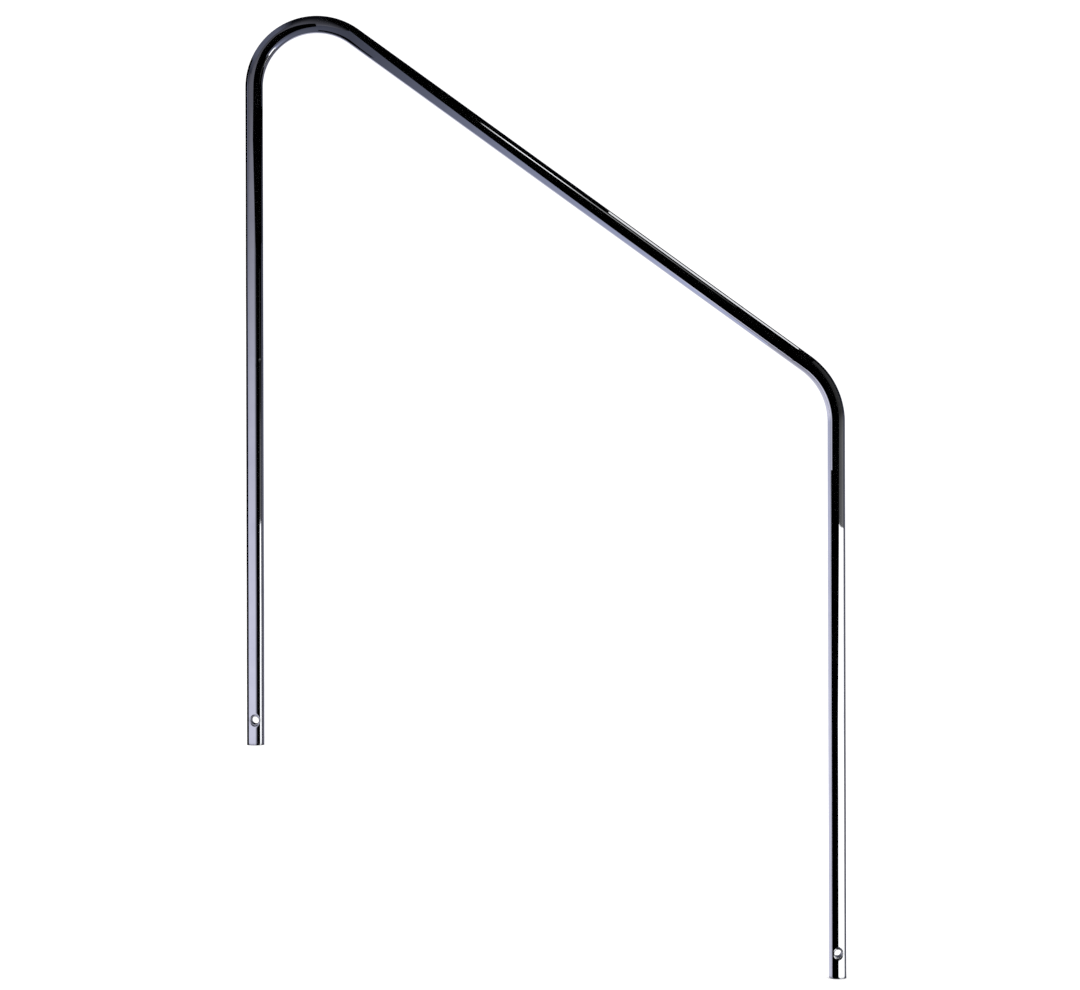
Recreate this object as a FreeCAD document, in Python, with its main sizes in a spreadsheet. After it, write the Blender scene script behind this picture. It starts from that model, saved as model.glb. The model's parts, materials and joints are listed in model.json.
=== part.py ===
"""Pool handrail: one bent, polished stainless tube with two straight legs and a sloping grip.

The rail stands in the XZ plane. The origin is the centre of the deck leg's cut end, +Z is up and
+X runs from the deck leg to the step leg. Each leg's foot is pressed flat round a cross hole, front
and back, onto a spacer sleeve that keeps the wall from collapsing under a clamping bolt, and each
cut end is closed by a finned insert plug.
"""
import FreeCAD, Part
import math
import os

import Sketcher

# alias, value in millimetres (degrees for the angle), meaning
DIMENSIONS = [
    ("tube_diameter", 25.4, "outside diameter of the rail tube"),
    ("tube_wall", 1.65, "wall thickness of the rail tube"),
    ("leg_spacing", 850.9, "centre distance of the two legs"),
    ("deck_leg_height", 1066.8, "deck leg's cut end to the top of the upper bend"),
    ("leg_end_drop", 342.9, "how far the step leg's cut end lies below the deck leg's"),
    ("slope_angle", 36, "fall of the sloping grip below horizontal"),
    ("upper_bend_radius", 92, "centreline radius of the bend over the deck leg"),
    ("lower_bend_radius", 106, "centreline radius of the bend over the step leg"),
    ("end_chamfer", 0.4, "deburring of the cut ends' outer edges"),
    ("hole_height", 36.5, "cross hole's centre above the cut end"),
    ("hole_diameter", 11.1, "cross hole, drilled through both walls and the sleeve"),
    ("dimple_depth", 2.2, "crown of the tube to the pressed flat round the hole"),
    ("dimple_seat_diameter", 13.2, "pressed flat round the hole"),
    ("dimple_blend_radius", 3.2, "each of the two arcs from the flat up to the crown"),
    ("dimple_overrun", 0.1, "crest of the upper blend arc above the crown"),
    ("tool_clearance", 1, "how far the pressing tool stands above the crown"),
    ("sleeve_diameter", 13.2, "outside diameter of the spacer sleeve"),
    ("plug_recess", 0.5, "plug's face above the cut end"),
    ("plug_length", 20, "cut end to the plug's open rim"),
    ("plug_head_thickness", 2.5, "closed end of the plug"),
    ("plug_head_gap", 0.15, "radial gap between the plug's head and the tube"),
    ("plug_head_chamfer", 0.4, "bevel round the plug's face"),
    ("plug_core_diameter", 18.4, "outside of the plug's cup between its fins"),
    ("plug_core_wall", 1.8, "wall of the plug's cup"),
    ("fin_gap", 0.05, "radial gap between a fin's tip and the tube"),
    ("fin_root", 1.6, "fin's thickness at the cup"),
    ("fin_tip", 0.5, "fin's thickness at its tip"),
    ("fin_start", 5.5, "cut end to the first fin"),
    ("fin_pitch", 3.6, "distance from fin to fin"),
    ("fin_count", 4, "fins on a plug"),
]

OUTER_RADIUS = "Sizes.tube_diameter / 2"
INNER_RADIUS = "(Sizes.tube_diameter / 2 - Sizes.tube_wall)"
SEAT_INSIDE = INNER_RADIUS + " - Sizes.dimple_depth"
UPPER_BEND_HEIGHT = "Sizes.deck_leg_height - Sizes.tube_diameter / 2 - Sizes.upper_bend_radius"

# Where each leg's cut end is: its X and Z in the rail's frame.
LEG_ENDS = {
    "deck": ("0", "0"),
    "step": ("Sizes.leg_spacing", "-Sizes.leg_end_drop"),
}

# How a sketch's constraints name a line or arc's ends, and the sketch's own origin and axes.
START, END, CENTRE = 1, 2, 3
ORIGIN = (-1, 1)
HORIZONTAL_AXIS, VERTICAL_AXIS = -1, -2
SKETCH_NORMAL = FreeCAD.Vector(0, 0, 1)

RIGHT_ANGLE = math.pi / 2
FULL_TURN = 360
SAME_POINT = 1e-6

doc = FreeCAD.newDocument("pool_handrail")


def make_sheet():
    """Lay out the driving dimensions, one row each: meaning, value, alias."""
    cells = doc.addObject("Spreadsheet::Sheet", "Sizes")
    for row, (alias, value, meaning) in enumerate(DIMENSIONS, start=1):
        cells.set(f"A{row}", meaning)
        cells.set(f"B{row}", str(value))
        cells.setAlias(f"B{row}", alias)
    doc.recompute()
    return cells


def size(expression):
    """Value of an expression over the sheet, used to draw a sketch close to its final form."""
    return float(sheet.evalExpression(expression.replace("Sizes.", "")))


def new_body(label):
    """Start a body whose label is also the name of its sub-part."""
    body = doc.addObject("PartDesign::Body", label)
    body.Label = label
    return body


def origin_feature(body, role):
    """One of a body's own origin planes or axes, such as XZ_Plane."""
    return next(item for item in body.Origin.OriginFeatures if item.Role == role)


def new_sketch(body, plane, name):
    """Start a sketch on one of a body's own origin planes."""
    sketch = body.newObject("Sketcher::SketchObject", name)
    sketch.AttachmentSupport = (origin_feature(body, plane), "")
    sketch.MapMode = "FlatFace"
    return sketch


def bind(sketch, constraint, expression):
    """Add a dimension to a sketch and tie its value to the sheet."""
    index = sketch.addConstraint(constraint)
    sketch.setExpression(f"Constraints[{index}]", expression)


def point(u, v):
    """A point in a sketch's own plane."""
    return FreeCAD.Vector(u, v, 0)


def place_vertex(sketch, line, end, u, v):
    """Hold one end of a line at (u, v), each an expression over the sheet or "0"."""
    if u == "0":
        sketch.addConstraint(Sketcher.Constraint("PointOnObject", line, end, VERTICAL_AXIS))
    else:
        bind(sketch, Sketcher.Constraint("DistanceX", *ORIGIN, line, end, size(u)), u)
    if v == "0":
        sketch.addConstraint(Sketcher.Constraint("PointOnObject", line, end, HORIZONTAL_AXIS))
    else:
        bind(sketch, Sketcher.Constraint("DistanceY", *ORIGIN, line, end, size(v)), v)


def draw_polygon(sketch, corners):
    """Draw a closed outline whose corners are pairs of expressions over the sheet."""
    count = len(corners)
    for index, (u, v) in enumerate(corners):
        next_u, next_v = corners[(index + 1) % count]
        sketch.addGeometry(Part.LineSegment(point(size(u), size(v)), point(size(next_u), size(next_v))))
    for line in range(count):
        following = (line + 1) % count
        sketch.addConstraint(Sketcher.Constraint("Coincident", line, END, following, START))
        place_vertex(sketch, line, START, *corners[line])


def draw_circle(sketch, radius):
    """Draw a circle about the sketch's origin, its radius tied to an expression over the sheet."""
    circle = sketch.addGeometry(Part.Circle(point(0, 0), SKETCH_NORMAL, size(radius)))
    sketch.addConstraint(Sketcher.Constraint("Coincident", circle, CENTRE, *ORIGIN))
    bind(sketch, Sketcher.Constraint("Radius", circle, size(radius)), radius)


def draw_centreline(sketch):
    """Draw the bent centreline: deck leg, upper bend, sloping grip, lower bend, step leg."""
    slope = math.radians(size("Sizes.slope_angle"))
    upper, lower = size("Sizes.upper_bend_radius"), size("Sizes.lower_bend_radius")
    spacing, foot = size("Sizes.leg_spacing"), -size("Sizes.leg_end_drop")
    upper_centre = point(upper, size(UPPER_BEND_HEIGHT))
    run = (spacing - upper - lower + (lower - upper) * math.sin(slope)) / math.cos(slope)
    fall = run * math.sin(slope) + (lower - upper) * math.cos(slope)
    lower_centre = point(spacing - lower, upper_centre.y - fall)

    def arc(centre, radius, start, stop):
        circle = Part.Circle(centre, SKETCH_NORMAL, radius)
        return sketch.addGeometry(Part.ArcOfCircle(circle, start, stop))

    grip_normal = point(math.sin(slope), math.cos(slope))
    above = RIGHT_ANGLE - slope
    deck_leg = sketch.addGeometry(Part.LineSegment(point(0, 0), point(0, upper_centre.y)))
    upper_bend = arc(upper_centre, upper, above, math.pi)
    grip = sketch.addGeometry(
        Part.LineSegment(upper_centre + grip_normal * upper, lower_centre + grip_normal * lower))
    lower_bend = arc(lower_centre, lower, 0, above)
    step_leg = sketch.addGeometry(Part.LineSegment(point(spacing, lower_centre.y), point(spacing, foot)))

    sketch.addConstraint([
        Sketcher.Constraint("Coincident", deck_leg, START, *ORIGIN),
        Sketcher.Constraint("Vertical", deck_leg),
        Sketcher.Constraint("Vertical", step_leg),
        Sketcher.Constraint("Tangent", deck_leg, END, upper_bend, END),
        Sketcher.Constraint("Tangent", upper_bend, START, grip, START),
        Sketcher.Constraint("Tangent", grip, END, lower_bend, END),
        Sketcher.Constraint("Tangent", lower_bend, START, step_leg, START),
    ])
    bind(sketch, Sketcher.Constraint("Radius", upper_bend, upper), "Sizes.upper_bend_radius")
    bind(sketch, Sketcher.Constraint("Radius", lower_bend, lower), "Sizes.lower_bend_radius")
    bind(sketch, Sketcher.Constraint("DistanceY", *ORIGIN, deck_leg, END, upper_centre.y), UPPER_BEND_HEIGHT)
    bind(sketch, Sketcher.Constraint("DistanceX", *ORIGIN, step_leg, END, spacing), "Sizes.leg_spacing")
    bind(sketch, Sketcher.Constraint("DistanceY", step_leg, END, *ORIGIN, -foot), "Sizes.leg_end_drop")
    bind(sketch, Sketcher.Constraint("Angle", deck_leg, END, grip, START, above),
         "(90 - Sizes.slope_angle) * 1 deg")


def draw_dimple(sketch, surface):
    """Draw the pressing tool's half section, its axis on the sketch's horizontal axis.

    surface is the radius that the tool presses into. From the flat seat a hollow arc and a rounded
    arc of the same radius lead up to the crown.
    """
    seat = f"{surface} - Sizes.dimple_depth"
    flat, blend = size("Sizes.dimple_seat_diameter / 2"), size("Sizes.dimple_blend_radius")
    crest = size(f"{surface} + Sizes.dimple_overrun")
    top = size(f"{surface} + Sizes.tool_clearance")
    hollow_centre = point(size(seat) + blend, flat)
    turn = math.acos((size(seat) + 2 * blend - crest) / (2 * blend))
    round_centre = point(crest - blend, flat + 2 * blend * math.sin(turn))

    flat_line = sketch.addGeometry(Part.LineSegment(point(size(seat), 0), point(size(seat), flat)))
    hollow_arc = sketch.addGeometry(Part.ArcOfCircle(
        Part.Circle(hollow_centre, SKETCH_NORMAL, blend), math.pi - turn, math.pi))
    round_arc = sketch.addGeometry(Part.ArcOfCircle(
        Part.Circle(round_centre, SKETCH_NORMAL, blend), -turn, 0))
    side = sketch.addGeometry(Part.LineSegment(point(crest, round_centre.y), point(top, round_centre.y)))
    back = sketch.addGeometry(Part.LineSegment(point(top, round_centre.y), point(top, 0)))
    axis = sketch.addGeometry(Part.LineSegment(point(top, 0), point(size(seat), 0)))

    sketch.addConstraint([
        Sketcher.Constraint("Vertical", flat_line),
        Sketcher.Constraint("Tangent", flat_line, END, hollow_arc, END),
        Sketcher.Constraint("Tangent", hollow_arc, START, round_arc, START),
        Sketcher.Constraint("Perpendicular", round_arc, END, side, START),
        Sketcher.Constraint("Horizontal", side),
        Sketcher.Constraint("Coincident", side, END, back, START),
        Sketcher.Constraint("Vertical", back),
        Sketcher.Constraint("Coincident", back, END, axis, START),
        Sketcher.Constraint("Coincident", axis, END, flat_line, START),
        Sketcher.Constraint("PointOnObject", axis, START, HORIZONTAL_AXIS),
        Sketcher.Constraint("Horizontal", axis),
        Sketcher.Constraint("Equal", hollow_arc, round_arc),
    ])
    bind(sketch, Sketcher.Constraint("DistanceX", *ORIGIN, flat_line, START, size(seat)), seat)
    bind(sketch, Sketcher.Constraint("DistanceY", flat_line, START, flat_line, END, flat),
         "Sizes.dimple_seat_diameter / 2")
    bind(sketch, Sketcher.Constraint("Radius", hollow_arc, blend), "Sizes.dimple_blend_radius")
    bind(sketch, Sketcher.Constraint("DistanceX", *ORIGIN, round_arc, END, crest),
         f"{surface} + Sizes.dimple_overrun")
    bind(sketch, Sketcher.Constraint("DistanceX", *ORIGIN, back, START, top),
         f"{surface} + Sizes.tool_clearance")


def check_cut(cut, base):
    """Stop if a cut took nothing off the solid it started from."""
    if cut.Shape.Volume >= base.Shape.Volume:
        raise RuntimeError(f"{cut.Name} cut nothing off {base.Name}")


def press_dimples(body, surface):
    """Press a dimple round the cross hole into the front and back of both feet."""
    presses = []
    for leg, (x, z) in LEG_ENDS.items():
        sketch = new_sketch(body, "YZ_Plane", f"{body.Name}_{leg}_press")
        sketch.setExpression("AttachmentOffset.Base.y", f"{z} + Sizes.hole_height")
        sketch.setExpression("AttachmentOffset.Base.z", x)
        draw_dimple(sketch, surface)
        uncut = body.Tip
        press = body.newObject("PartDesign::Groove", f"{body.Name}_{leg}_dimple")
        press.Profile = sketch
        press.ReferenceAxis = (sketch, ["H_Axis"])
        press.Angle = FULL_TURN
        doc.recompute()
        check_cut(press, uncut)
        presses.append(press)
    far_side = body.newObject("PartDesign::Mirrored", f"{body.Name}_far_dimples")
    far_side.Originals = presses
    far_side.MirrorPlane = (origin_feature(body, "XZ_Plane"), [""])
    body.Tip = far_side
    doc.recompute()
    check_cut(far_side, presses[-1])


def make_bent_rod(label, radius):
    """Sweep a solid round rod along the rail's centreline and press its four dimples."""
    body = new_body(label)
    path = new_sketch(body, "XZ_Plane", f"{label}_centreline")
    draw_centreline(path)
    section = new_sketch(body, "XY_Plane", f"{label}_section")
    draw_circle(section, radius)
    doc.recompute()
    sweep = body.newObject("PartDesign::AdditivePipe", f"{label}_sweep")
    sweep.Profile = section
    sweep.Spine = path
    doc.recompute()
    press_dimples(body, radius)
    return body


def drill_cross_holes(body):
    """Drill each foot from front to back through the middle of its dimples."""
    sketch = new_sketch(body, "XZ_Plane", "cross_hole_centres")
    for x, z in LEG_ENDS.values():
        height = f"{z} + Sizes.hole_height"
        hole = sketch.addGeometry(Part.Circle(
            point(size(x), size(height)), SKETCH_NORMAL, size("Sizes.hole_diameter / 2")))
        place_vertex(sketch, hole, CENTRE, x, height)
        bind(sketch, Sketcher.Constraint("Radius", hole, size("Sizes.hole_diameter / 2")),
             "Sizes.hole_diameter / 2")
    uncut = body.Tip
    drill = body.newObject("PartDesign::Pocket", "cross_holes")
    drill.Profile = sketch
    drill.Type = "ThroughAll"
    drill.Midplane = True
    body.Tip = drill
    doc.recompute()
    check_cut(drill, uncut)
    return drill


def cut_end_edges(solid):
    """Names of the outer circular edges round the two cut ends."""
    radius = size(OUTER_RADIUS)
    ends = [FreeCAD.Vector(size(x), 0, size(z)) for x, z in LEG_ENDS.values()]
    names = []
    for number, edge in enumerate(solid.Edges, start=1):
        if not isinstance(edge.Curve, Part.Circle) or not math.isclose(edge.Curve.Radius, radius):
            continue
        if any(edge.Curve.Center.isEqual(end, SAME_POINT) for end in ends):
            names.append(f"Edge{number}")
    return names


def make_rail_tube():
    """The bent tube: a dimpled rod, hollowed by a smaller dimpled rod, drilled and deburred."""
    tube = make_bent_rod("rail_tube", OUTER_RADIUS)
    bore = make_bent_rod("tube_bore", INNER_RADIUS)
    hollow = tube.newObject("PartDesign::Boolean", "hollow")
    hollow.Type = "Cut"
    hollow.Group = [bore]
    tube.Tip = hollow
    doc.recompute()
    drilled = drill_cross_holes(tube)
    deburr = tube.newObject("PartDesign::Chamfer", "deburred_ends")
    deburr.Base = (drilled, cut_end_edges(drilled.Shape))
    deburr.setExpression("Size", "Sizes.end_chamfer")
    tube.Tip = deburr
    doc.recompute()
    return tube


def make_sleeve(leg):
    """Spacer sleeve across a foot, held between the flats pressed into the front and back walls."""
    x, z = LEG_ENDS[leg]
    sleeve = new_body(f"{leg}_spacer_sleeve")
    section = new_sketch(sleeve, "XZ_Plane", f"{leg}_sleeve_section")
    draw_circle(section, "Sizes.sleeve_diameter / 2")
    draw_circle(section, "Sizes.hole_diameter / 2")
    pad = sleeve.newObject("PartDesign::Pad", f"{leg}_sleeve_pad")
    pad.Profile = section
    pad.Midplane = True
    pad.setExpression("Length", f"2 * ({SEAT_INSIDE})")
    sleeve.setExpression("Placement.Base.x", x)
    sleeve.setExpression("Placement.Base.z", f"{z} + Sizes.hole_height")
    return sleeve


def make_plug(leg):
    """Insert plug in a cut end: a closed cup with a flat face and a stack of tapered fins."""
    x, z = LEG_ENDS[leg]
    plug = new_body(f"{leg}_end_plug")
    head = f"{INNER_RADIUS} - Sizes.plug_head_gap"
    core = "Sizes.plug_core_diameter / 2"
    cup = f"{core} - Sizes.plug_core_wall"
    floor = "Sizes.plug_recess + Sizes.plug_head_thickness"
    cup_section = new_sketch(plug, "XZ_Plane", f"{leg}_cup_section")
    draw_polygon(cup_section, [
        ("0", "Sizes.plug_recess"),
        (f"{head} - Sizes.plug_head_chamfer", "Sizes.plug_recess"),
        (head, "Sizes.plug_recess + Sizes.plug_head_chamfer"),
        (head, floor),
        (core, floor),
        (core, "Sizes.plug_length"),
        (cup, "Sizes.plug_length"),
        (cup, floor),
        ("0", floor),
    ])
    turned_cup = plug.newObject("PartDesign::Revolution", f"{leg}_cup")
    turned_cup.Profile = cup_section
    turned_cup.ReferenceAxis = (cup_section, ["V_Axis"])
    turned_cup.Angle = FULL_TURN
    doc.recompute()

    tip = f"{INNER_RADIUS} - Sizes.fin_gap"
    fin_section = new_sketch(plug, "XZ_Plane", f"{leg}_fin_section")
    draw_polygon(fin_section, [
        (core, "Sizes.fin_start"),
        (tip, "Sizes.fin_start + Sizes.fin_root - Sizes.fin_tip"),
        (tip, "Sizes.fin_start + Sizes.fin_root"),
        (core, "Sizes.fin_start + Sizes.fin_root"),
    ])
    fin = plug.newObject("PartDesign::Revolution", f"{leg}_fin")
    fin.Profile = fin_section
    fin.ReferenceAxis = (fin_section, ["V_Axis"])
    fin.Angle = FULL_TURN
    doc.recompute()
    fins = plug.newObject("PartDesign::LinearPattern", f"{leg}_fins")
    fins.Originals = [fin]
    fins.Direction = (origin_feature(plug, "Z_Axis"), [""])
    fins.setExpression("Occurrences", "Sizes.fin_count")
    fins.setExpression("Length", "Sizes.fin_pitch * (Sizes.fin_count - 1)")
    plug.Tip = fins
    plug.setExpression("Placement.Base.x", x)
    plug.setExpression("Placement.Base.z", z)
    return plug


def check_document():
    """Stop if any object of the document failed to compute."""
    failed = [item.Label for item in doc.Objects if "Invalid" in item.State or "Error" in item.State]
    if failed:
        raise RuntimeError("failed objects: " + ", ".join(failed))


def export_parts(pieces):
    """Write each sub-part to its own STEP file, once all of them are sound solids."""
    for piece in pieces:
        if piece.Shape.isNull() or not piece.Shape.isValid() or len(piece.Shape.Solids) != 1:
            raise RuntimeError(f"{piece.Label} is not one sound solid")
    os.makedirs("parts", exist_ok=True)
    for piece in pieces:
        piece.Shape.exportStep(f"parts/{piece.Label}.step")
        print(f"{piece.Label}: {piece.Shape.Volume:.1f} mm3")


sheet = make_sheet()
parts = [make_rail_tube()]
for leg_name in LEG_ENDS:
    parts.append(make_sleeve(leg_name))
    parts.append(make_plug(leg_name))
doc.recompute()
check_document()
export_parts(parts)
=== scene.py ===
"""Looks of the pool handrail: a mirror-polished bent tube, its spacer sleeves and its end plugs.

The tube is rebuilt here as one closed mesh, fine enough for mirror reflections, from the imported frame's
own sizes. The sleeves and plugs stay as the CAD made them and get their materials here. Lengths are in
metres. The deck leg stands on the origin, +X runs to the step leg and the camera looks along +Y.
"""

import json
import math

import bmesh
import bpy
import numpy as np
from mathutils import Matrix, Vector


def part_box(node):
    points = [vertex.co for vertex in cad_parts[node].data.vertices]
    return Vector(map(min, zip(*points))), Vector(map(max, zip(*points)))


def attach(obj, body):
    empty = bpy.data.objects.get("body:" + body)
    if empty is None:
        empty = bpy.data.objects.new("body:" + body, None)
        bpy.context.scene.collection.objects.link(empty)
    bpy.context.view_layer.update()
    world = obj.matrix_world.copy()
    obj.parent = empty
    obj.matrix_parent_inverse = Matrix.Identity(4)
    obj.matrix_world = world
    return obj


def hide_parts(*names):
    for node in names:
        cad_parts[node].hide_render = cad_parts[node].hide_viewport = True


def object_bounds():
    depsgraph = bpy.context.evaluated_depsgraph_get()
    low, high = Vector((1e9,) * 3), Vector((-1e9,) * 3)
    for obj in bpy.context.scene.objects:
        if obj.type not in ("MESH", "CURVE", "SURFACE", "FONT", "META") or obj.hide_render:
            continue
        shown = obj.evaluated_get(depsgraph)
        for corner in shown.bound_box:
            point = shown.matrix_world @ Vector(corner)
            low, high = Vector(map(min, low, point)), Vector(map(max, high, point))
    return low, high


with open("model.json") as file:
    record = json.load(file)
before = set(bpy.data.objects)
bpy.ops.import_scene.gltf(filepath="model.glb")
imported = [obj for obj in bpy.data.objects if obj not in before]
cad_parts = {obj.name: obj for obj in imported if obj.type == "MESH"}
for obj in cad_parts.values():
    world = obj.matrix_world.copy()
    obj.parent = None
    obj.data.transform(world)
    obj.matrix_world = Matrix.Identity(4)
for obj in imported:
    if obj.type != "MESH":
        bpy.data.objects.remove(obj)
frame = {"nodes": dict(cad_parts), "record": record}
cad_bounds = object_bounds()

MM = 0.001

# ---------------------------------------------------------------------------------------------
# Sizes. What the frame gives is read from it; the rest are the tube's own details.
# ---------------------------------------------------------------------------------------------
mounts = {mount["name"]: mount for mount in frame["record"]["mounts"]}
deck_foot = Vector(mounts["deck_leg"]["pos_m"])
step_foot = Vector(mounts["step_leg"]["pos_m"])
TUBE_RADIUS = mounts["deck_leg"]["dims"]["r_mm"] * MM
HOLE_RADIUS = mounts["deck_cross_hole"]["dims"]["r_mm"] * MM
HOLE_HEIGHT = mounts["deck_cross_hole"]["pos_m"][2] - deck_foot.z
SEAT_DEPTH = TUBE_RADIUS - mounts["deck_cross_hole"]["dims"]["length_mm"] * MM / 2
rail_low, rail_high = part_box("rail_tube")

TUBE_WALL = 1.65 * MM
END_BEVEL = 0.4 * MM
SLOPE = math.radians(36)
# A dimple is flat out to the seat's radius. Its flank is back at the tube's full height by its rim.
SEAT_RADIUS = 6.6 * MM
DIMPLE_RIM = 10.0 * MM
DIMPLE_SOFTNESS = 0.8 * MM
RIM_ROUNDING = 0.6 * MM

# The centreline: deck leg, upper bend, sloping grip, lower bend, step leg.
deck_length = mounts["deck_leg"]["dims"]["length_mm"] * MM + END_BEVEL
step_length = mounts["step_leg"]["dims"]["length_mm"] * MM + END_BEVEL
upper_radius = rail_high.z - TUBE_RADIUS - deck_length
upper_centre = Vector((deck_foot.x + upper_radius, 0, deck_foot.z + deck_length))
lower_centre_z = step_foot.z + step_length
grip_normal = Vector((math.sin(SLOPE), 0, math.cos(SLOPE)))
# The grip's line touches both bends' circles, which fixes the lower bend's radius.
legs_apart = step_foot.x - upper_centre.x
lower_radius = (upper_radius - legs_apart * grip_normal.x
                - (lower_centre_z - upper_centre.z) * grip_normal.z) / (1 - grip_normal.x)
lower_centre = Vector((step_foot.x - lower_radius, 0, lower_centre_z))
grip_start = upper_centre + grip_normal * upper_radius
grip_end = lower_centre + grip_normal * lower_radius
upper_turn = math.pi / 2 + SLOPE
lower_turn = math.pi / 2 - SLOPE

# How far along the centreline each stretch ends.
deck_top = deck_length
bend_top = deck_top + upper_turn * upper_radius
grip_bottom = bend_top + (grip_end - grip_start).length
bend_bottom = grip_bottom + lower_turn * lower_radius
rail_length = bend_bottom + step_length

# Mesh fineness along the tube: how far apart the rings are, and how far they stay close round a dent.
COLUMNS = 96
END_STEP = 3 * MM
STRAIGHT_STEP = 12 * MM
BEND_STEP = 2.5 * MM
DENT_STEP = 0.8 * MM
DENT_REACH = 8 * MM
STEP_SLACK = 0.01
NORMAL_STEP = 0.05 * MM
SHARP_ANGLE = math.radians(32)

# The square patches round the holes. Round rings run out to a share of the wall's radius, and the
# border rings then turn from round to square.
PATCH_HALF = 16 * MM
SIDE_STEPS = 24
CIRCLE_STEP = 0.45 * MM
CIRCLES_REACH = 0.93
BORDER_RINGS = 4
LIP_RINGS = 3

# Small dents from handling: distance along, angle round from the front, depth, width.
DENTS = [
    (562 * MM, math.radians(41), 0.35 * MM, 1.6 * MM),
    (555 * MM, math.radians(26), 0.25 * MM, 1.3 * MM),
    (grip_bottom - 18 * MM, math.radians(24), 0.45 * MM, 2.0 * MM),
]

# Faint waves in the polish: two wavelengths, each over two pi, and the plain stretch at each foot.
WAVE_HEIGHT = 0.02 * MM
SHORT_WAVE = 31 * MM
LONG_WAVE = 53 * MM
WAVE_START = 80 * MM
WAVE_FADE = 60 * MM

# How far wear reaches in from a worn edge.
WEAR_REACH = 1.6 * MM


def centreline(along):
    """Point on the centreline and direction of travel, as the angle that it has turned from +Z."""
    if along <= deck_top:
        return deck_foot + Vector((0, 0, along)), 0.0
    if along <= bend_top:
        turned = (along - deck_top) / upper_radius
        out = Vector((-math.cos(turned), 0, math.sin(turned)))
        return upper_centre + out * upper_radius, turned
    if along <= grip_bottom:
        return grip_start.lerp(grip_end, (along - bend_top) / (grip_bottom - bend_top)), upper_turn
    if along <= bend_bottom:
        turned = upper_turn + (along - grip_bottom) / lower_radius
        out = Vector((-math.cos(turned), 0, math.sin(turned)))
        return lower_centre + out * lower_radius, turned
    return step_foot + Vector((0, 0, rail_length - along)), math.pi


def tube_point(along, around, radius):
    """Point at a distance along the tube and an angle round it: 0 is the front, +90 degrees the
    side that faces into the rail."""
    centre, turned = centreline(along)
    inward = Vector((math.cos(turned), 0, -math.sin(turned)))
    return centre + inward * (radius * math.sin(around)) + Vector((0, -radius * math.cos(around), 0))


def surface_offset(along, around):
    """How far the outside stands off a true cylinder: long faint waves and the few dents."""
    fade = min(1.0, max(0.0, min(along, rail_length - along) - WAVE_START) / WAVE_FADE)
    waves = math.sin(along / SHORT_WAVE + 2 * math.sin(around)) + math.sin(along / LONG_WAVE - around)
    offset = fade * WAVE_HEIGHT * waves
    for dent_along, dent_around, depth, width in DENTS:
        away = (along - dent_along) ** 2 + (TUBE_RADIUS * (around - dent_around)) ** 2
        offset -= depth * math.exp(-away / (2 * width ** 2))
    return offset


def dimple_height(reach, surface):
    """Height above the tube's axis of the pressed dimple's wall at a distance from the hole's centre."""
    rise = min(1.0, max(0.0, (reach - SEAT_RADIUS) / (DIMPLE_RIM - SEAT_RADIUS)))
    beyond = max(0.0, reach - DIMPLE_RIM)
    return surface - SEAT_DEPTH * (1 + math.cos(math.pi * rise)) / 2 + beyond


def soft_minimum(first, second, softness):
    """The smaller of two heights, with the corner between them rounded off."""
    mix = max(0.0, softness - abs(first - second)) / softness
    return min(first, second) - mix * mix * softness / 4


class Shell:
    """One mesh being gathered: points and faces, and for each point its normal, its wear and its place
    on the straightened tube, where the materials' patterns are laid out. The wear is real edge wear on
    the outside and painted shade of the bore on the whole inside wall."""

    def __init__(self):
        self.points = []
        self.faces = []
        self.straight = []
        self.wear = []
        self.normals = []

    def add(self, point, along, around, wear, normal=(0, 0, 0)):
        """Add a point. A normal of zeros is worked out from the faces instead."""
        self.points.append(point)
        self.normals.append(tuple(normal))
        self.straight.append((TUBE_RADIUS * math.sin(around), -TUBE_RADIUS * math.cos(around), along))
        self.wear.append(wear)
        return len(self.points) - 1

    def bridge(self, first, second, closed=True):
        """Join two rows of points of the same length with quads."""
        count = len(first)
        for index in range(count if closed else count - 1):
            following = (index + 1) % count
            self.faces.append((first[index], first[following], second[following], second[index]))


def edge_wear(distance):
    """1 at a worn edge, falling off within a couple of millimetres."""
    return math.exp(-(max(0.0, distance) / WEAR_REACH) ** 1.5)


def column_angle(column):
    """Angle round the tube of a column of the grid. Column 0 is on the rail's outer side."""
    return -math.pi / 2 + column * 2 * math.pi / COLUMNS


def true_normal(surface, u, v, step_u, step_v, centre):
    """Outward normal of a surface, given as a function of two values, away from a centre point."""
    along_u = surface(u + step_u, v) - surface(u - step_u, v)
    along_v = surface(u, v + step_v) - surface(u, v - step_v)
    normal = along_u.cross(along_v).normalized()
    return normal if normal.dot(surface(u, v) - centre) > 0 else -normal


def outside_point(along, around):
    """Point of the tube's outside wall."""
    return tube_point(along, around, TUBE_RADIUS + surface_offset(along, around))


def add_ring(shell, along, radius, inside):
    """One ring of the tube's outside or inside wall, or of a cut end. Only the outside wall, clear of
    the cut ends, is waved and dented and has exact normals."""
    ring = []
    # The inside wall gets full wear, which is painted shade of the bore. Outside, real wear fades in from
    # the cut ends.
    wear = 1.0 if inside else edge_wear(min(along, rail_length - along))
    centre = centreline(along)[0]
    smooth = not inside and 2 * END_BEVEL < along < rail_length - 2 * END_BEVEL
    for column in range(COLUMNS):
        around = column_angle(column)
        if smooth:
            point = outside_point(along, around)
            normal = true_normal(outside_point, along, around, NORMAL_STEP, NORMAL_STEP / radius, centre)
            ring.append(shell.add(point, along, around, wear, normal))
        else:
            ring.append(shell.add(tube_point(along, around, radius), along, around, wear))
    return ring


def patch_outline(lower, upper, left, right, first):
    """The points round one square patch, from its lower left corner. It is half of each ring wide."""
    half = COLUMNS // 2
    columns = [(first + step) % COLUMNS for step in range(half + 1)]
    outline = [lower[column] for column in columns]
    outline += right
    outline += [upper[column] for column in reversed(columns)]
    outline += reversed(left)
    return outline


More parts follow.
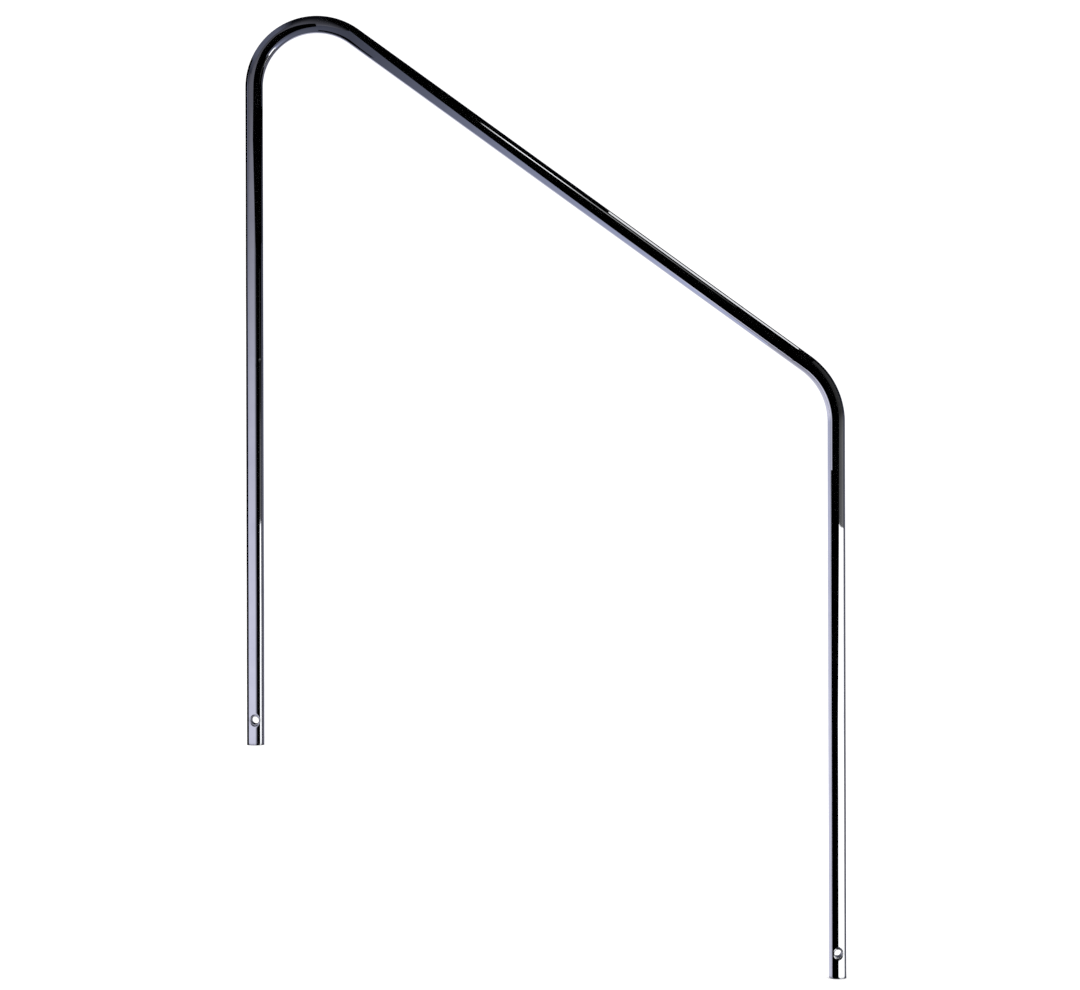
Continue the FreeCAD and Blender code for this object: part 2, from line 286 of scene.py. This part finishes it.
def dimpled_surface(hole_along, face_angle, radius):
    """The wall round one hole, as a function of the distance across and up from the hole's centre."""
    centre, turned = centreline(hole_along)
    facing = math.cos(face_angle)
    across_way = Vector((math.cos(turned) * facing, 0, 0))
    up_way = Vector((0, 0, math.cos(turned)))

    def place(across, up):
        sideways = radius * math.sin(across / radius)
        wall = dimple_height(math.hypot(sideways, up), radius)
        height = soft_minimum(radius * math.cos(across / radius), wall, DIMPLE_SOFTNESS)
        return centre + across_way * sideways + up_way * up + Vector((0, -facing * height, 0))

    return place


def patch_circles(radius, inside):
    """Radii of a patch's round rings, from the hole's rim out past the dimple."""
    circles = [HOLE_RADIUS if inside else HOLE_RADIUS + RIM_ROUNDING]
    while circles[-1] < radius * CIRCLES_REACH:
        circles.append(circles[-1] + CIRCLE_STEP)
    return circles


def add_dimpled_patch(shell, outline, hole_along, face_angle, radius, inside):
    """Fill a square patch from its outline in to the hole's rim, pressing the dimple as it goes."""
    circles = patch_circles(radius, inside)
    place = dimpled_surface(hole_along, face_angle, radius)
    centre = centreline(hole_along)[0]
    border = []
    for index in outline:
        x, y, along = shell.straight[index]
        around = math.remainder(math.atan2(x, -y) - face_angle, 2 * math.pi)
        border.append((radius * around, along - hole_along))
    previous = outline
    for number in range(len(circles) + BORDER_RINGS - 1, -1, -1):
        reach = circles[min(number, len(circles) - 1)]
        share = max(0, number - len(circles) + 1) / (BORDER_RINGS + 1)
        ring = []
        for border_across, border_up in border:
            heading = math.atan2(border_up, border_across)
            round_across = radius * math.asin(reach * math.cos(heading) / radius)
            across = round_across + (border_across - round_across) * share
            round_up = reach * math.sin(heading)
            up = round_up + (border_up - round_up) * share
            hole_distance = math.hypot(radius * math.sin(across / radius), up)
            # Inside the tube the patch is fully dark, as painted shade. Outside, real wear fades in from the
            # hole's rim.
            wear = 1.0 if inside else edge_wear(hole_distance - circles[0])
            normal = (0, 0, 0)
            if not inside:
                axis_point = centre + Vector((0, 0, place(across, up).z - centre.z))
                normal = true_normal(place, across, up, NORMAL_STEP, NORMAL_STEP, axis_point)
            ring.append(shell.add(place(across, up), hole_along + up, face_angle + across / radius,
                                  wear, normal))
        shell.bridge(previous, ring)
        previous = ring
    return previous


def add_foot_patches(shell, lower, upper, hole_along, radius, inside):
    """The two patches, front and back, between the rings below and above a cross hole."""
    half = COLUMNS // 2
    sides = []
    for column in (0, half):
        side = []
        for step in range(1, SIDE_STEPS):
            along = hole_along - PATCH_HALF + 2 * PATCH_HALF * step / SIDE_STEPS
            around = column_angle(column)
            point = tube_point(along, around, radius)
            normal = (0, 0, 0) if inside else (point - centreline(along)[0]).normalized()
            # Inside points get full wear, which is painted shade of the bore.
            side.append(shell.add(point, along, around, float(inside), normal))
        sides.append(side)
    rims = []
    for first, face_angle, left, right in ((0, 0.0, *sides), (half, math.pi, *reversed(sides))):
        outline = patch_outline(lower, upper, left, right, first)
        rims.append(add_dimpled_patch(shell, outline, hole_along, face_angle, radius, inside))
    return rims


def spread(start, stop, step):
    """Evenly spaced distances from start up to, but not including, stop. They are at most a step
    apart, and the slack keeps a rounding error from adding one more."""
    count = max(1, math.ceil((stop - start) / step - STEP_SLACK))
    return [start + (stop - start) * index / count for index in range(count)]


def ring_stations():
    """Distances along the tube of its rings. A stop is where a new spacing starts. No ring crosses the
    patches round the holes, and rings are close together round the dents."""
    first_hole, last_hole = HOLE_HEIGHT, rail_length - HOLE_HEIGHT
    stops = [(END_BEVEL, END_STEP), (first_hole - PATCH_HALF, 2 * PATCH_HALF),
             (first_hole + PATCH_HALF, STRAIGHT_STEP), (deck_top, BEND_STEP), (bend_top, STRAIGHT_STEP),
             (grip_bottom, BEND_STEP), (bend_bottom, STRAIGHT_STEP),
             (last_hole - PATCH_HALF, 2 * PATCH_HALF), (last_hole + PATCH_HALF, END_STEP)]
    for low, high in merged_spans([(dent[0] - DENT_REACH, dent[0] + DENT_REACH) for dent in DENTS]):
        stops += [(low, DENT_STEP), (high, STRAIGHT_STEP)]
    stops.sort()
    ends = [stop[0] for stop in stops[1:]] + [rail_length - END_BEVEL]
    stations = []
    for (start, step), stop in zip(stops, ends):
        stations += spread(start, stop, step)
    return stations + [rail_length - END_BEVEL]


def merged_spans(spans):
    """Join the spans that overlap."""
    merged = []
    for low, high in sorted(spans):
        if merged and low <= merged[-1][1]:
            merged[-1] = (merged[-1][0], max(high, merged[-1][1]))
        else:
            merged.append((low, high))
    return merged


def add_wall(shell, stations, radius, inside):
    """The whole outside or inside wall. Returns its two end rings and the rims of its four holes."""
    holes = (HOLE_HEIGHT, rail_length - HOLE_HEIGHT)
    rims = []
    rings = [add_ring(shell, along, radius, inside) for along in stations]
    for (low, ring), (high, following) in zip(zip(stations, rings), zip(stations[1:], rings[1:])):
        hole = next((hole for hole in holes if low < hole < high), None)
        if hole is None:
            shell.bridge(ring, following)
        else:
            rims += add_foot_patches(shell, ring, following, hole, radius, inside)
    return rings[0], rings[-1], rims


def add_hole_lip(shell, outer_rim, inner_rim):
    """The drilled wall between a hole's outside rim, slightly rounded, and its inside rim."""
    previous = outer_rim
    for step in range(1, LIP_RINGS + 1):
        turn = math.pi / 2 * step / LIP_RINGS
        ring = []
        for index in outer_rim:
            x, y, along = shell.straight[index]
            point = Vector(shell.points[index])
            foot = deck_foot if along < rail_length / 2 else step_foot
            centre = Vector((foot.x, point.y, foot.z + HOLE_HEIGHT))
            out = (point - centre).normalized()
            side = math.copysign(1, point.y)
            rounded = HOLE_RADIUS + RIM_ROUNDING * (1 - math.sin(turn))
            point = centre + out * rounded - Vector((0, side * RIM_ROUNDING * (1 - math.cos(turn)), 0))
            # The drilled wall is fully dark: partly a worn edge, and partly painted shade inside the hole.
            ring.append(shell.add(point, along, math.atan2(x, -y), 1.0))
        shell.bridge(previous, ring)
        previous = ring
    shell.bridge(previous, inner_rim)


def build_rail_mesh():
    """The bent tube as one closed mesh: outside, inside, hole lips and the two cut ends."""
    shell = Shell()
    stations = ring_stations()
    first_outer, last_outer, outer_rims = add_wall(shell, stations, TUBE_RADIUS, False)
    first_inner, last_inner, inner_rims = add_wall(shell, stations, TUBE_RADIUS - TUBE_WALL, True)
    for outer_rim, inner_rim in zip(outer_rims, inner_rims):
        add_hole_lip(shell, outer_rim, inner_rim)
    for along, outer, inner in ((0.0, first_outer, first_inner), (rail_length, last_outer, last_inner)):
        face_outer = add_ring(shell, along, TUBE_RADIUS - END_BEVEL, False)
        face_inner = add_ring(shell, along, TUBE_RADIUS - TUBE_WALL + END_BEVEL / 2, False)
        shell.bridge(outer, face_outer)
        shell.bridge(face_outer, face_inner)
        shell.bridge(face_inner, inner)
    return shell


def make_object(name, shell):
    """A mesh object from a gathered shell, with its straightened places and its wear, which is painted
    shade on the inside wall, as attributes. It has to be closed."""
    mesh = bpy.data.meshes.new(name)
    mesh.from_pydata([tuple(point) for point in shell.points], [], shell.faces)
    straight = mesh.attributes.new("straight", "FLOAT_VECTOR", "POINT")
    straight.data.foreach_set("vector", np.array(shell.straight, np.float32).ravel())
    wear = mesh.attributes.new("wear", "FLOAT", "POINT")
    wear.data.foreach_set("value", np.array(shell.wear, np.float32))
    work = bmesh.new()
    work.from_mesh(mesh)
    bmesh.ops.recalc_face_normals(work, faces=work.faces)
    open_edges = [edge for edge in work.edges if len(edge.link_faces) != 2]
    if open_edges:
        raise RuntimeError(f"{name} has {len(open_edges)} open edges")
    work.to_mesh(mesh)
    work.free()
    mesh.polygons.foreach_set("use_smooth", [True] * len(mesh.polygons))
    mesh.set_sharp_from_angle(angle=SHARP_ANGLE)
    mesh.normals_split_custom_set_from_vertices(shell.normals)
    piece = bpy.data.objects.new(name, mesh)
    bpy.context.scene.collection.objects.link(piece)
    return piece


# ---------------------------------------------------------------------------------------------
# Materials
# ---------------------------------------------------------------------------------------------
def add_node(tree, kind, inputs=None, **settings):
    """Add a shader node, set its properties and fill its inputs with values or other sockets."""
    node = tree.nodes.new(kind)
    for key, value in settings.items():
        setattr(node, key, value)
    for key, value in (inputs or {}).items():
        if isinstance(value, bpy.types.NodeSocket):
            tree.links.new(value, node.inputs[key])
        else:
            node.inputs[key].default_value = value
    return node


def calculate(tree, operation, *values):
    """A Math node's result."""
    inputs = dict(enumerate(values))
    return add_node(tree, "ShaderNodeMath", inputs, operation=operation).outputs[0]


def ramp(tree, factor, stops):
    """A colour ramp's result. Each stop is a place and a grey value or a colour."""
    node = add_node(tree, "ShaderNodeValToRGB", {"Fac": factor})
    elements = node.color_ramp.elements
    while len(elements) < len(stops):
        elements.new(1.0)
    for element, (place, value) in zip(elements, stops):
        element.position = place
        colour = value if isinstance(value, tuple) else (value, value, value)
        element.color = (*colour, 1.0)
    return node.outputs["Color"]


def noise(tree, vector, scale, detail=3.0, stretch=(1, 1, 1)):
    """Noise over a vector, which is first stretched by its own factor along each axis."""
    mapped = add_node(tree, "ShaderNodeMapping", {"Vector": vector, "Scale": stretch}).outputs[0]
    return add_node(tree, "ShaderNodeTexNoise",
                    {"Vector": mapped, "Scale": scale, "Detail": detail}).outputs["Fac"]


def new_material(name):
    """A node material with only a principled shader. Returns the material, its tree and the shader."""
    material = bpy.data.materials.new(name)
    material.use_nodes = True
    tree = material.node_tree
    return material, tree, tree.nodes["Principled BSDF"]


def mix_colour(tree, factor, first, second):
    """A mix of two colours or colour sockets, from the first (0) to the second (1)."""
    node = add_node(tree, "ShaderNodeMix", {0: factor}, data_type="RGBA")
    for socket, value in ((node.inputs[6], first), (node.inputs[7], second)):
        if isinstance(value, bpy.types.NodeSocket):
            tree.links.new(value, socket)
        else:
            socket.default_value = (*value, 1.0)
    return node.outputs[2]


def finish_material(tree, shader, metallic, colour, roughness, bump):
    """Wire a material's results into its shader. bump is a height, its strength and its distance."""
    height, strength, distance = bump
    raised = add_node(tree, "ShaderNodeBump",
                      {"Height": height, "Strength": strength, "Distance": distance})
    shader.inputs["Metallic"].default_value = metallic
    tree.links.new(colour, shader.inputs["Base Color"])
    tree.links.new(roughness, shader.inputs["Roughness"])
    tree.links.new(raised.outputs[0], shader.inputs["Normal"])


CLEAN_STEEL = (0.80, 0.81, 0.84)
HAZY_STEEL = (0.74, 0.75, 0.79)
# Dark steel for the worn cut ends and hole rims, and also the painted shade on the tube's inside wall.
WORN_AND_SHADED_STEEL = (0.13, 0.13, 0.135)
SLEEVE_STEEL = (0.20, 0.20, 0.21)
STAINED_STEEL = (0.11, 0.11, 0.115)
BLACK_PLASTIC = (0.022, 0.022, 0.024)
SCUFFED_PLASTIC = (0.11, 0.11, 0.115)


def polished_steel():
    """Mirror-polished stainless: a faint haze of smudges, buffing lines, hairline scratches, and
    duller, darker metal at the cut ends and hole rims. The same dark metal covers the whole inside wall
    as painted shade of the bore."""
    material, tree, shader = new_material("polished_steel")
    straight = add_node(tree, "ShaderNodeAttribute", attribute_name="straight").outputs["Vector"]
    wear = add_node(tree, "ShaderNodeAttribute", attribute_name="wear").outputs["Fac"]
    smudges = noise(tree, straight, 38.0, 5.0)
    haze = ramp(tree, smudges, [(0.42, 0.0), (0.72, 1.0)])
    buffing = noise(tree, straight, 900.0, 2.0, stretch=(0.06, 0.06, 1.0))
    scratch_field = noise(tree, straight, 420.0, 1.0, stretch=(1.0, 1.0, 0.02))
    scratch_gate = ramp(tree, noise(tree, straight, 60.0, 2.0), [(0.52, 0.0), (0.62, 1.0)])
    scratch_line = ramp(tree, scratch_field, [(0.494, 0.0), (0.5, 1.0), (0.506, 0.0)])
    scratches = calculate(tree, "MULTIPLY", scratch_line, scratch_gate)
    patchy = ramp(tree, noise(tree, straight, 700.0, 4.0), [(0.3, 0.45), (0.7, 1.0)])
    # Worn edges and the inside wall's painted shade, broken into patches.
    worn_and_shaded = calculate(tree, "MULTIPLY", wear, patchy)
    clean = mix_colour(tree, haze, CLEAN_STEEL, HAZY_STEEL)
    colour = mix_colour(tree, worn_and_shaded, clean, WORN_AND_SHADED_STEEL)
    roughness = calculate(tree, "MULTIPLY_ADD", haze, 0.03, 0.025)
    roughness = calculate(tree, "MULTIPLY_ADD", scratches, 0.05, roughness)
    roughness = calculate(tree, "MULTIPLY_ADD", worn_and_shaded, 0.16, roughness)
    lines = calculate(tree, "MULTIPLY_ADD", scratches, -0.6, buffing)
    finish_material(tree, shader, 1.0, colour, roughness, (lines, 0.02, 0.02 * MM))
    return material


def turned_steel():
    """Turned stainless of the spacer sleeves, with the lathe's fine rings along the bore."""
    material, tree, shader = new_material("sleeve_steel")
    place = add_node(tree, "ShaderNodeTexCoord").outputs["Object"]
    rings = noise(tree, place, 2600.0, 2.0, stretch=(0.03, 1.0, 0.03))
    stains = noise(tree, place, 260.0, 4.0)
    colour = mix_colour(tree, stains, SLEEVE_STEEL, STAINED_STEEL)
    roughness = calculate(tree, "MULTIPLY_ADD", stains, 0.18, 0.2)
    finish_material(tree, shader, 1.0, colour, roughness, (rings, 0.4, 0.03 * MM))
    return material


def moulded_plastic(leg, foot):
    """Moulded black polyethylene of an end plug, scuffed paler towards the edge of its face."""
    material, tree, shader = new_material(f"plug_plastic_{leg}")
    place = add_node(tree, "ShaderNodeTexCoord").outputs["Object"]
    offset = add_node(tree, "ShaderNodeVectorMath", {0: place, 1: tuple(foot)}, operation="SUBTRACT")
    flat = add_node(tree, "ShaderNodeVectorMath", {0: offset.outputs[0], 1: (1, 1, 0)},
                    operation="MULTIPLY")
    from_axis = add_node(tree, "ShaderNodeVectorMath", {0: flat.outputs[0]}, operation="LENGTH")
    rim = calculate(tree, "DIVIDE", from_axis.outputs["Value"], TUBE_RADIUS - TUBE_WALL)
    grain = noise(tree, place, 1900.0, 3.0)
    scuffs = ramp(tree, noise(tree, place, 330.0, 5.0), [(0.45, 0.0), (0.75, 1.0)])
    edge = calculate(tree, "MULTIPLY", ramp(tree, rim, [(0.86, 0.15), (0.97, 1.0)]), scuffs)
    colour = mix_colour(tree, edge, BLACK_PLASTIC, SCUFFED_PLASTIC)
    roughness = calculate(tree, "MULTIPLY_ADD", scuffs, 0.2, 0.42)
    finish_material(tree, shader, 0.0, colour, roughness, (grain, 0.35, 0.05 * MM))
    return material


def dress(piece, material):
    """Give a piece one material in place of whatever it had."""
    piece.data.materials.clear()
    piece.data.materials.append(material)


# ---------------------------------------------------------------------------------------------
# The pieces
# ---------------------------------------------------------------------------------------------
rail = make_object("polished_rail_tube", build_rail_mesh())
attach(rail, "root")
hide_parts("rail_tube")
dress(rail, polished_steel())

sleeve_material = turned_steel()
for leg, foot in (("deck", deck_foot), ("step", step_foot)):
    dress(frame["nodes"][f"{leg}_spacer_sleeve"], sleeve_material)
    dress(frame["nodes"][f"{leg}_end_plug"], moulded_plastic(leg, foot))

# ---------------------------------------------------------------------------------------------
# Studio. The cards are seen only in the tube's reflections.
# ---------------------------------------------------------------------------------------------
LAVENDER = (0.93, 0.93, 1.12)
SLATE = (0.80, 0.86, 1.20)
WHITE = (1.0, 1.0, 1.0)
BLACK = 0.0
EVEN = ((0, 1), (1, 1))

# The tall cards run well past the rail, and the large front ones stand this far in front of it.
CARD_BOTTOM = rail_low.z - 1.0
CARD_TOP = rail_high.z + 1.1
CARD_FRONT = -0.38


def glow_material(name, strength, tint, across, up, one_sided):
    """A card's glow, shared out across it and up it."""
    material = bpy.data.materials.new(name)
    material.use_nodes = True
    tree = material.node_tree
    tree.nodes.clear()
    uv = add_node(tree, "ShaderNodeUVMap", uv_map="card").outputs[0]
    split = add_node(tree, "ShaderNodeSeparateXYZ", {0: uv})
    share = calculate(tree, "MULTIPLY", ramp(tree, split.outputs[0], list(across)),
                      ramp(tree, split.outputs[1], list(up)))
    if one_sided:
        behind = add_node(tree, "ShaderNodeNewGeometry").outputs["Backfacing"]
        share = calculate(tree, "MULTIPLY", share, calculate(tree, "SUBTRACT", 1.0, behind))
    glow = calculate(tree, "MULTIPLY", share, strength)
    emission = add_node(tree, "ShaderNodeEmission", {"Color": (*tint, 1.0), "Strength": glow})
    output = add_node(tree, "ShaderNodeOutputMaterial")
    tree.links.new(emission.outputs[0], output.inputs["Surface"])
    return material


def card(name, rows, strength, tint=WHITE, across=EVEN, up=EVEN, one_sided=False):
    """A glowing or black card, seen only in reflections.

    rows are rows of points, from the lower edge to the upper one, each running left to right. across
    and up are lists of places from 0 to 1 and the share of the strength there. A one-sided card is
    black behind.
    """
    width, height = len(rows[0]), len(rows)
    points = [tuple(point) for row in rows for point in row]
    places = [(column / (width - 1), row / (height - 1)) for row in range(height) for column in range(width)]
    faces = [(row * width + column, row * width + column + 1,
              (row + 1) * width + column + 1, (row + 1) * width + column)
             for row in range(height - 1) for column in range(width - 1)]
    mesh = bpy.data.meshes.new(name)
    mesh.from_pydata(points, [], faces)
    layer = mesh.uv_layers.new(name="card")
    for loop, corner in zip(mesh.loops, layer.data):
        corner.uv = places[loop.vertex_index]
    mesh.materials.append(glow_material(name, strength, tint, across, up, one_sided))
    panel = bpy.data.objects.new(name, mesh)
    bpy.context.scene.collection.objects.link(panel)
    panel.visible_camera = False
    panel.visible_diffuse = False
    panel.visible_shadow = False
    panel.visible_transmission = False


def make_world():
    """White to the camera. Reflections see a lavender glow all round the left, from the front to the
    back, with a fainter patch on the right towards the back. It is brightest just below the horizon and
    dims fast above it. The rest is dark."""
    world = bpy.data.worlds.new("studio")
    bpy.context.scene.world = world
    world.use_nodes = True
    tree = world.node_tree
    tree.nodes.clear()
    direction = add_node(tree, "ShaderNodeTexCoord").outputs["Generated"]
    split = add_node(tree, "ShaderNodeSeparateXYZ", {0: direction})
    x, y, z = split.outputs
    azimuth = calculate(tree, "ARCTAN2", x, calculate(tree, "MULTIPLY", y, -1.0))
    turn = calculate(tree, "MULTIPLY_ADD", azimuth, 1 / (2 * math.pi), 0.5)
    elevation = calculate(tree, "MULTIPLY_ADD", z, 0.5, 0.5)

    def heading(degrees):
        """Place on the ramp round the horizon: 0 degrees is the front, +90 the right."""
        return degrees / 360 + 0.5

    def height(degrees):
        """Place on the ramp from straight down to straight up."""
        return 0.5 + 0.5 * math.sin(math.radians(degrees))

    glow_round = ramp(tree, turn, [(heading(-8), 1.0), (heading(16), 0.004), (heading(95), 0.02),
                                   (heading(112), 0.22), (heading(135), 0.22), (heading(148), 0.03),
                                   (heading(160), 0.8), (heading(179), 1.0)])
    glow_up = ramp(tree, elevation, [(height(-60), 0.34), (height(-30), 0.6), (height(-5), 0.76),
                                     (height(0), 0.62), (height(4), 0.42), (height(8), 0.2),
                                     (height(18), 0.08), (height(35), 0.01), (height(90), 0.004)])
    tint = ramp(tree, elevation, [(height(-5), LAVENDER), (height(8), SLATE)])
    strength = calculate(tree, "MULTIPLY", glow_round, glow_up)
    reflected = add_node(tree, "ShaderNodeBackground", {"Color": tint, "Strength": strength})
    backdrop = add_node(tree, "ShaderNodeBackground", {"Color": (*WHITE, 1.0), "Strength": 1.12})
    path = add_node(tree, "ShaderNodeLightPath")
    mixed = add_node(tree, "ShaderNodeMixShader",
                     {0: path.outputs["Is Glossy Ray"], 1: backdrop.outputs[0], 2: reflected.outputs[0]})
    output = add_node(tree, "ShaderNodeOutputWorld")
    tree.links.new(mixed.outputs[0], output.inputs["Surface"])


def upright(places, low, high):
    """The rows of a card that stands upright on places of the floor plan, from a low to a high end."""
    return [[(x, y, z) for x, y in places] for z in (low, high)]


def beside_leg(foot, degrees, reach):
    """Place on the floor plan at a distance from a leg: 0 degrees is in front of it, +90 on its right."""
    turn = math.radians(degrees)
    return foot.x + reach * math.sin(turn), foot.y - reach * math.cos(turn)


def round_grip(share, degrees, reach):
    """Point at a distance from the grip's centreline, whose share runs from its top (0) to its bottom
    (1): 0 degrees is straight in front, +90 square above it."""
    turn = math.radians(degrees)
    out = Vector((0, -math.cos(turn), 0)) + math.sin(turn) * grip_normal
    return grip_start.lerp(grip_end, share) + reach * out


def wrap_grip(edges, far_angle, steps, reach):
    """The rows of a card wrapped round the grip. edges are shares along the grip, each with the angle
    at which the card starts there. It ends at the far angle everywhere."""
    return [[round_grip(share, angle + (far_angle - angle) * step / steps, reach) for share, angle in edges]
            for step in range(steps + 1)]


def make_front_cards():
    """A lavender panel in front of the deck leg, dimming upwards and towards its right edge, and a
    black flag just before it, in front of the rail's right part."""
    left, right = -3.6, 0.25
    glow_across = ((left, 1), (0.0, 1), (0.057, 0.6), (0.17, 0), (right, 0))
    glow_up = ((-0.35, 0.77), (0.1, 0.77), (0.5, 0.57), (0.65, 0.43), (0.8, 0.29), (0.9, 0.24),
               (1.0, 0.14), (1.3, 0.06), (1.6, 0.02))
    panel_rows = upright([(left, CARD_FRONT), (right, CARD_FRONT)], CARD_BOTTOM, CARD_TOP)
    card("front_panel", panel_rows, 1.0, LAVENDER,
         across=[((x - left) / (right - left), glow) for x, glow in glow_across],
         up=[((z - CARD_BOTTOM) / (CARD_TOP - CARD_BOTTOM), glow) for z, glow in glow_up])

    # Each height of the flag, with its left and right ends there.
    flag_y = CARD_FRONT + 1 * MM
    flag_ends = ((CARD_BOTTOM, -0.10, 0.88), (-0.35, 0.10, 0.89), (0.0, 0.18, 0.90), (0.1, 0.21, 0.94),
                 (0.28, 0.21, 1.03), (0.45, 0.21, 1.09), (CARD_TOP, 0.18, 1.25))
    card("front_flag", [[(low_x, flag_y, z), (high_x, flag_y, z)] for z, low_x, high_x in flag_ends], BLACK)


def make_leg_flags():
    """Small black flags close to the legs, for the black lines along them."""
    # Behind the deck leg's left side.
    deck_places = [beside_leg(deck_foot, degrees, 0.035) for degrees in (-81, -105, -130, -155, -178)]
    card("left_flag", upright(deck_places, CARD_BOTTOM, 1.02), BLACK)

    # In front of the deck leg's upper end, and on round the upper bend.
    card("top_flag", [[(0.012, -0.05, 0.74), (0.03, -0.05, 0.70), (0.055, -0.012, 0.70)],
                      [(-0.010, -0.05, 0.89), (0.03, -0.05, 0.89), (0.055, -0.012, 0.89)],
                      [(-0.003, -0.05, 0.97), (0.045, -0.05, 0.965), (0.075, -0.012, 0.97)],
                      [(0.001, -0.05, 1.026), (0.03, -0.05, 1.005), (0.068, -0.05, 0.984)],
                      [(0.021, -0.05, 1.054), (0.04, -0.05, 1.03), (0.072, -0.05, 0.992)],
                      [(0.055, -0.05, 1.060), (0.063, -0.05, 1.04), (0.076, -0.05, 1.004)],
                      [(0.088, -0.05, 1.055), (0.089, -0.05, 1.04), (0.088, -0.05, 1.02)]], BLACK)

    # In front of the step leg's left side, up to below the lower bend.
    step_places = [beside_leg(step_foot, degrees, 0.04) for degrees in (-72, -60, -48)]
    card("step_flag", upright(step_places, CARD_BOTTOM, 0.4), BLACK)

    # Right of the deck leg's upper end, so that its right edge doesn't mirror the grip.
    card("side_flag", upright([(0.078, -0.014), (0.078, 0.03)], 0.74, 0.975), BLACK)


def make_right_cards():
    """A white box low on the right, with a front part, and a dim grey wall above it."""
    wall_x, near_y, far_y = 1.30, -1.3, 0.04
    box_top = 0.31
    places = ((0.3, near_y), (1.0, near_y), (wall_x, near_y), (wall_x, far_y))
    lows = (-0.65, -0.65, CARD_BOTTOM, CARD_BOTTOM)
    highs = (-0.1, 0.0, box_top, box_top)
    card("right_box", [[(x, y, z) for (x, y), z in zip(places, heights)] for heights in (lows, highs)], 1.5)
    card("right_glow", upright([(wall_x, near_y), (wall_x, far_y)], box_top, 1.1), 0.22,
         across=((0, 0.1), (0.8, 0.6), (1, 1)), up=((0, 1), (0.18, 0.8), (0.3, 0.22), (1, 0.18)))


def make_bend_glow():
    """A dim slate glow up on the left, for the outside of the upper bend."""
    reach, near_y, far_y = 0.5, -0.35, 0.6
    rows = []
    for climb in map(math.radians, (18, 35, 52, 68)):
        x = upper_centre.x - reach * math.cos(climb)
        z = upper_centre.z + reach * math.sin(climb)
        rows.append([(x, near_y, z), (x, far_y, z)])
    card("bend_glow", rows, 0.13, SLATE, up=((0, 0.3), (0.3, 1), (0.75, 1), (1, 0.1)))


def make_grip_cards():
    """A slate trough under the grip, brighter towards the step leg. Over the grip, a thin strip along
    its middle and a wide box along its lower half."""
    trough_edges = ((-0.04, 24), (0.06, -2), (0.16, -20), (0.35, -40), (0.55, -58), (0.75, -75),
                    (0.93, -102))
    card("grip_trough", wrap_grip(trough_edges, -130, 6, 0.15), 1.0, SLATE, one_sided=True,
         across=((0, 0.07), (0.33, 0.16), (0.5, 0.30), (0.67, 0.44), (0.83, 0.58), (1, 0.62)))

    # The strip's shares along the grip, each with how much further round it lies there.
    over_reach = 0.5
    strip_turns = ((0.22, 0), (0.45, 4), (0.85, 3))
    card("grip_strip", [[round_grip(share, angle + turn, over_reach) for share, turn in strip_turns]
                        for angle in (47.0, 58.0)], 1.4,
         across=((0, 0.4), (0.15, 1.0), (0.45, 0.8), (0.55, 0.25), (0.85, 0.1), (1, 0.02)))
    box_edges = ((0.53, 84), (0.75, 84), (1.0, 91))
    card("grip_box", wrap_grip(box_edges, 118, 3, over_reach), 0.95)


def make_floor():
    """A plain pale floor under the lower foot, too bright to show where it meets the background."""
    half = 30.0
    z = rail_low.z - 0.5 * MM
    corners = [(-half, -half, z), (half, -half, z), (half, half, z), (-half, half, z)]
    mesh = bpy.data.meshes.new("floor")
    mesh.from_pydata(corners, [], [(0, 1, 2, 3)])
    material, tree, shader = new_material("floor")
    shader.inputs["Base Color"].default_value = (0.96, 0.96, 0.96, 1.0)
    shader.inputs["Roughness"].default_value = 0.9
    shader.inputs["Specular IOR Level"].default_value = 0.0
    mesh.materials.append(material)
    floor = bpy.data.objects.new("floor", mesh)
    bpy.context.scene.collection.objects.link(floor)
    floor.visible_glossy = False


def make_light():
    """One large soft light overhead, which only lifts the floor and the plastic."""
    data = bpy.data.lights.new("overhead", "AREA")
    data.shape = "SQUARE"
    data.size = 4.0
    data.energy = 60.0
    light = bpy.data.objects.new("overhead", data)
    light.location = (0.4, -0.5, 3.4)
    light.visible_glossy = False
    light.visible_camera = False
    bpy.context.scene.collection.objects.link(light)


def make_camera():
    """Nearly level with the rail's middle, square to it but for a slight roll, and far enough back for
    a long lens. The picture's width is set as a share of the rail's height."""
    low, high = (Vector(corner) for corner in cad_bounds)
    middle = (low + high) / 2
    distance = 4.0
    width_per_height = 1.1215
    view_width = width_per_height * (high.z - low.z)
    aim_left, aim_up = 8.5 * MM, 2.6 * MM
    roll = math.radians(0.15)
    data = bpy.data.cameras.new("camera")
    data.sensor_width = 36.0
    data.lens = data.sensor_width * distance / view_width
    data.clip_end = 200.0
    camera = bpy.data.objects.new("camera", data)
    camera.location = (middle.x - aim_left, -distance, middle.z + aim_up)
    camera.rotation_euler = (math.radians(90), roll, 0.0)
    bpy.context.scene.collection.objects.link(camera)
    bpy.context.scene.camera = camera


make_world()
make_front_cards()
make_leg_flags()
make_right_cards()
make_bend_glow()
make_grip_cards()
make_floor()
make_light()
make_camera()
bpy.context.scene.view_settings.view_transform = "Standard"
